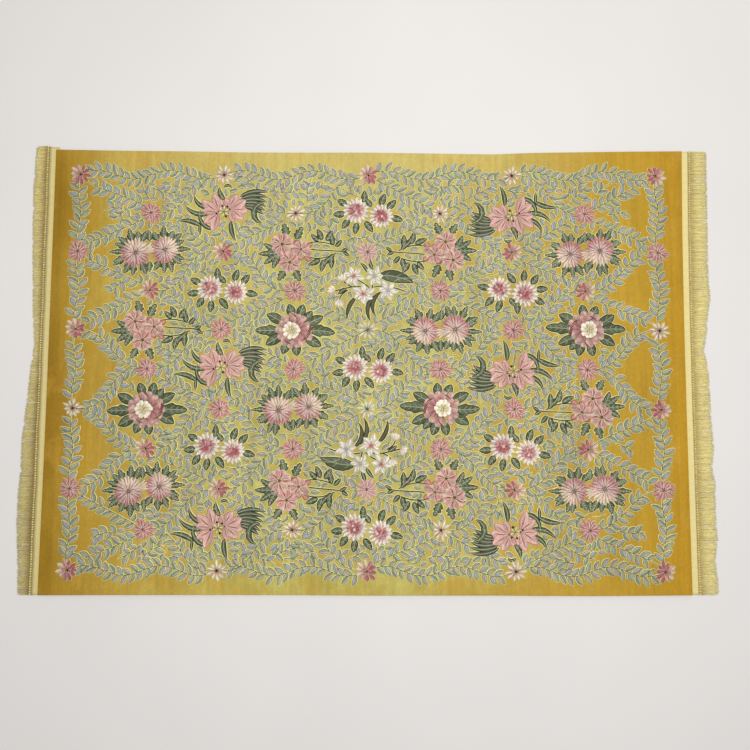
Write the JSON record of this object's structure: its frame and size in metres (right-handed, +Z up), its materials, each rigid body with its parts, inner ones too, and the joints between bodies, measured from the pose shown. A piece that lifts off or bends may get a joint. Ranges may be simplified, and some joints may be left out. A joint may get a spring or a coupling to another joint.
{
  "type": "chinese silk rug",
  "caption": "Rectangular hand-knotted silk rug with a carved floral pile, flat-woven end webs and a knotted fringe along both short ends; it lies flat on a floor.",
  "frame": {"origin": "centre of the outline on the floor, under the rug", "axes": "+X along the rug's length, from the left fringe to the right one, +Y to the back long edge, +Z up out of the pile"},
  "size_m": [2.8485, 1.852, 0.011],
  "materials": {
    "pile": "silk pile with a soft sheen, carved around the motifs",
    "web": "plain flat weave, matte silk",
    "fringe": "loose silk warp ends, soft sheen"
  },
  "bodies": {
    "root": {"rug": "pile", "fringe_left": "fringe", "fringe_right": "fringe"}
  },
  "joints": []
}
